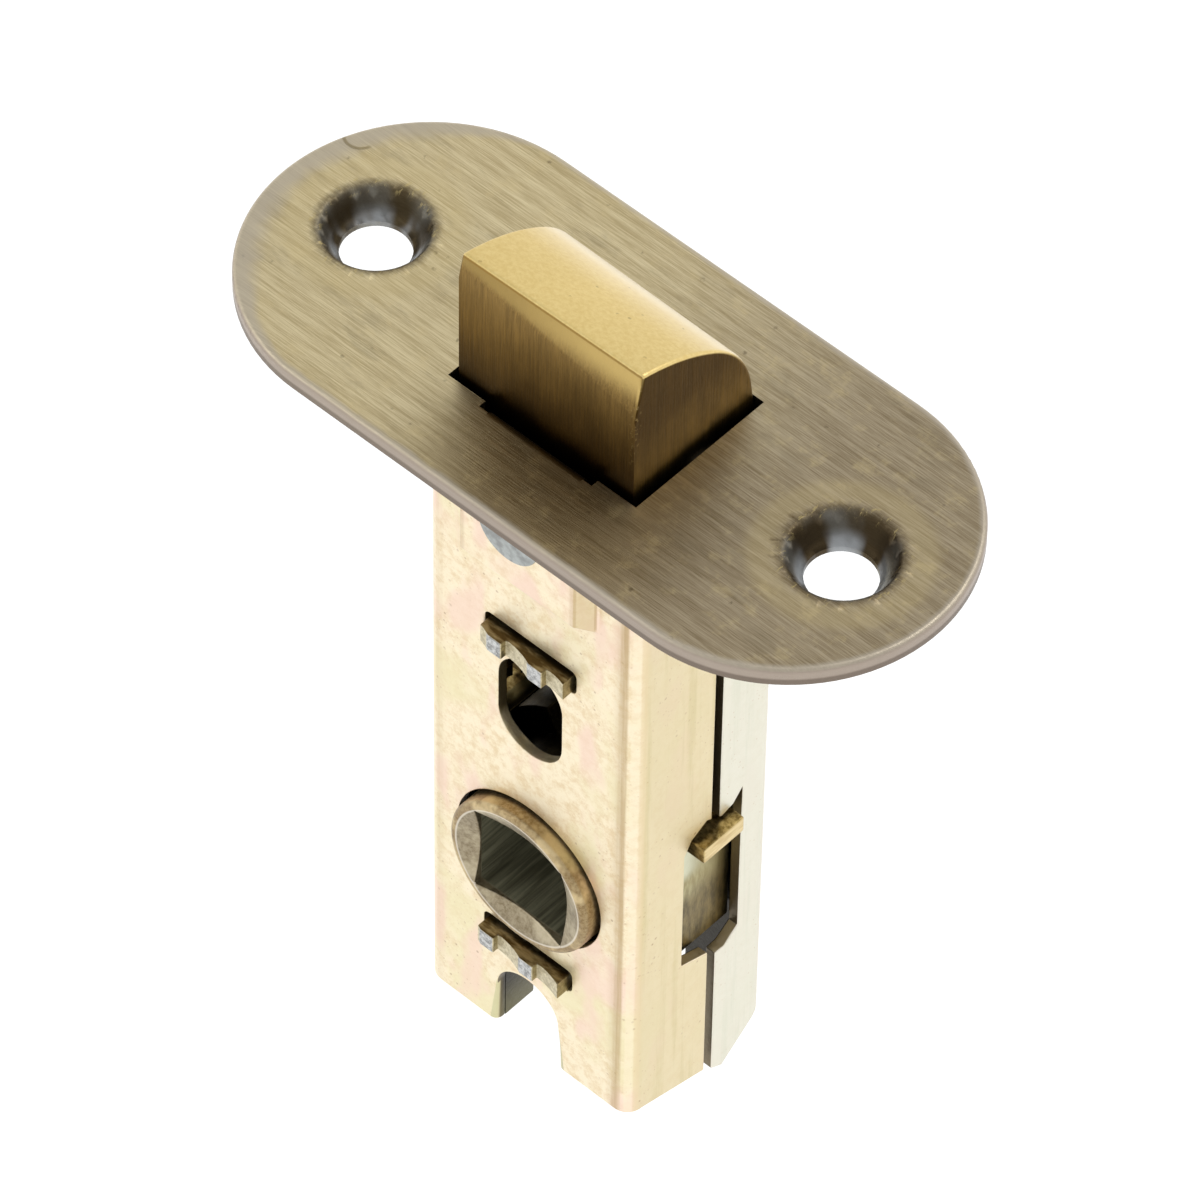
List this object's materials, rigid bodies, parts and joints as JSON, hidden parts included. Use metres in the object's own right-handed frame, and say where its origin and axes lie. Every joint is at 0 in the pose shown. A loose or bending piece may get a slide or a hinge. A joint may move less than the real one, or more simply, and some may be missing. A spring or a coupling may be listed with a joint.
{
  "type": "tubular mortice latch",
  "caption": "Tubular mortice latch with a round-ended forend, a sloped latch bolt, a folded steel case and a square-holed follower.",
  "frame": {"origin": "centre of the forend's front face, midway between its two screw holes", "axes": "+X along the forend, +Y along the spindle towards the bolt's sloped side, +Z out of the door edge, the way the bolt points"},
  "size_m": [0.0578, 0.0264, 0.0794],
  "materials": {
    "forend": "antique brass plating, brushed along its length",
    "bolt": "brass plated casting, satin, worn bright at the edges",
    "case_front": "yellow passivated zinc plating, satin",
    "case_rear": "pale passivated zinc plating, satin",
    "follower": "grainy sintered steel, lightly plated",
    "raw_steel": "bare steel, rough where it was staked",
    "plated_steel": "yellow passivated steel",
    "spring_steel": "drawn spring wire"
  },
  "bodies": {
    "case": {"forend_plate": "forend", "case_front_shell": "case_front", "case_rear_shell": "case_rear", "leg_rivet_front": "raw_steel", "leg_rivet_rear": "raw_steel", "front_spacer": "raw_steel", "rear_spacer": "raw_steel", "spring_guide": "raw_steel", "bolt_spring": "spring_steel"},
    "follower": {"follower_hub": "follower"},
    "bolt": {"latch_bolt": "bolt", "retractor_plate_front": "plated_steel", "retractor_plate_rear": "plated_steel", "retractor_bar_right": "plated_steel", "retractor_bar_left": "plated_steel", "bolt_pin_right": "raw_steel", "bolt_pin_left": "raw_steel"}
  },
  "joints": [
    {"name": "follower_turn", "type": "hinge", "parent": "case", "child": "follower", "pos_m": [0, 0, -0.0444], "axis": [0, 1, 0], "range_deg": [0, 76.2]},
    {"name": "bolt_slide", "type": "slide", "parent": "case", "child": "bolt", "axis": [0, 0, -1], "range_m": [0, 0.0112], "stiffness_N_per_m": 600, "springref_m": -0.008, "deforming": ["bolt_spring"]}
  ],
  "couplings": [
    {"joint": "follower_turn", "follows": "bolt_slide", "rad_per_m": 118.5}
  ]
}
